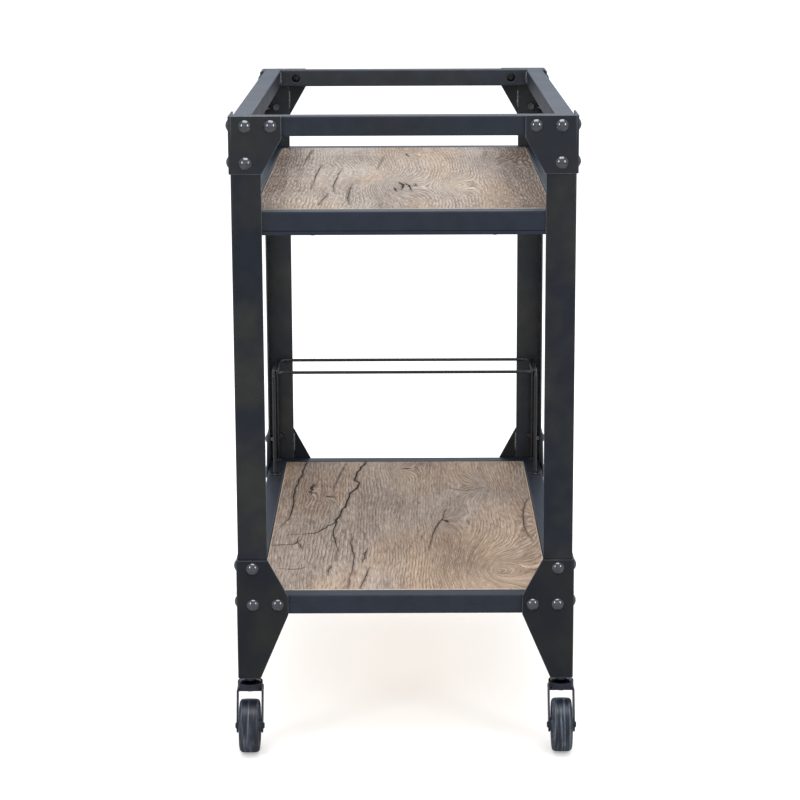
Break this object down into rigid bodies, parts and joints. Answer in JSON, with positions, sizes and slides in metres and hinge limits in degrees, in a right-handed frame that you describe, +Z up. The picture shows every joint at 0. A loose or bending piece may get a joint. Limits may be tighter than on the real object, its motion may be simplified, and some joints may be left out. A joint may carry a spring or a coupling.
{
  "type": "bar cart on wheels",
  "caption": "Industrial bar cart: open angle-post frame with dome-bolted corner plates, inset wooden shelves, a raised top rail, a wire bottle rail and swivel casters.",
  "frame": {"origin": "on the floor under the middle of the cart", "axes": "X across the cart to the right, Y along the cart from the front end to the end with the bottle rail, Z up"},
  "size_m": [0.466, 0.842, 0.869],
  "materials": {
    "post_paint": "dark charcoal paint with a faint rubbed mottle, semi-gloss",
    "plate_paint": "dark charcoal paint with a faint rubbed mottle, semi-gloss",
    "rail_paint": "dark charcoal paint, semi-gloss",
    "oak_board": "weathered oak with dark checks and knots, matt",
    "dome_bolt": "dark gloss enamel",
    "plated_steel": "zinc-plated steel",
    "wire_paint": "black satin paint on round wire",
    "bearing_steel": "polished steel",
    "wheel_rubber": "black moulded rubber with a faint moulding line",
    "caster_black": "glossy black enamel"
  },
  "bodies": {
    "frame": {"board_cleats": "rail_paint", "bolt_nuts_lower": "dome_bolt", "bolt_nuts_upper": "dome_bolt", "bolt_spacers": "plated_steel", "bottle_rail_flanges": "wire_paint", "bottle_rail_leg_left": "wire_paint", "bottle_rail_leg_right": "wire_paint", "bottle_rail_nuts": "plated_steel", "bottle_rail_ring": "wire_paint", "caster_balls": "bearing_steel", "caster_stem_front_left": "caster_black", "caster_stem_front_right": "caster_black", "caster_stem_nuts": "plated_steel", "caster_stem_rear_left": "caster_black", "caster_stem_rear_right": "caster_black", "corner_plate_front_left": "plate_paint", "corner_plate_front_right": "plate_paint", "corner_plate_rear_left": "plate_paint", "corner_plate_rear_right": "plate_paint", "dome_bolts_lower": "dome_bolt", "dome_bolts_upper": "dome_bolt", "foot_plates": "plate_paint", "leg_front_left": "plate_paint", "leg_front_right": "plate_paint", "leg_rear_left": "plate_paint", "leg_rear_right": "plate_paint", "lower_board": "oak_board", "lower_shelf_rail_front": "rail_paint", "lower_shelf_rail_left": "rail_paint", "lower_shelf_rail_rear": "rail_paint", "lower_shelf_rail_right": "rail_paint", "post_front_left": "post_paint", "post_front_right": "post_paint", "post_rear_left": "post_paint", "post_rear_right": "post_paint", "shelf_screws": "plated_steel", "top_rail_front": "rail_paint", "top_rail_left": "rail_paint", "top_rail_rear": "rail_paint", "top_rail_right": "rail_paint", "upper_board": "oak_board", "upper_shelf_bearer_front": "rail_paint", "upper_shelf_bearer_rear": "rail_paint", "upper_shelf_rail_front": "rail_paint", "upper_shelf_rail_left": "rail_paint", "upper_shelf_rail_rear": "rail_paint", "upper_shelf_rail_right": "rail_paint"},
    "fork_front_left": {"caster_fork_front_left": "caster_black", "caster_axle_front_left": "caster_black"},
    "wheel_front_left": {"caster_wheel_front_left": "wheel_rubber"},
    "fork_front_right": {"caster_fork_front_right": "caster_black", "caster_axle_front_right": "caster_black"},
    "wheel_front_right": {"caster_wheel_front_right": "wheel_rubber"},
    "fork_rear_left": {"caster_fork_rear_left": "caster_black", "caster_axle_rear_left": "caster_black"},
    "wheel_rear_left": {"caster_wheel_rear_left": "wheel_rubber"},
    "fork_rear_right": {"caster_fork_rear_right": "caster_black", "caster_axle_rear_right": "caster_black"},
    "wheel_rear_right": {"caster_wheel_rear_right": "wheel_rubber"}
  },
  "joints": [
    {"name": "swivel_front_left", "type": "hinge", "parent": "frame", "child": "fork_front_left", "pos_m": [-0.213, -0.3655, 0.09], "axis": [0, 0, 1], "continuous": true},
    {"name": "roll_front_left", "type": "hinge", "parent": "fork_front_left", "child": "wheel_front_left", "pos_m": [-0.213, -0.3845, 0.0365], "axis": [1, 0, 0], "continuous": true},
    {"name": "swivel_front_right", "type": "hinge", "parent": "frame", "child": "fork_front_right", "pos_m": [0.213, -0.3655, 0.09], "axis": [0, 0, 1], "continuous": true},
    {"name": "roll_front_right", "type": "hinge", "parent": "fork_front_right", "child": "wheel_front_right", "pos_m": [0.213, -0.3845, 0.0365], "axis": [1, 0, 0], "continuous": true},
    {"name": "swivel_rear_left", "type": "hinge", "parent": "frame", "child": "fork_rear_left", "pos_m": [-0.213, 0.3655, 0.09], "axis": [0, 0, 1], "continuous": true},
    {"name": "roll_rear_left", "type": "hinge", "parent": "fork_rear_left", "child": "wheel_rear_left", "pos_m": [-0.213, 0.3845, 0.0365], "axis": [1, 0, 0], "continuous": true},
    {"name": "swivel_rear_right", "type": "hinge", "parent": "frame", "child": "fork_rear_right", "pos_m": [0.213, 0.3655, 0.09], "axis": [0, 0, 1], "continuous": true},
    {"name": "roll_rear_right", "type": "hinge", "parent": "fork_rear_right", "child": "wheel_rear_right", "pos_m": [0.213, 0.3845, 0.0365], "axis": [1, 0, 0], "continuous": true}
  ]
}
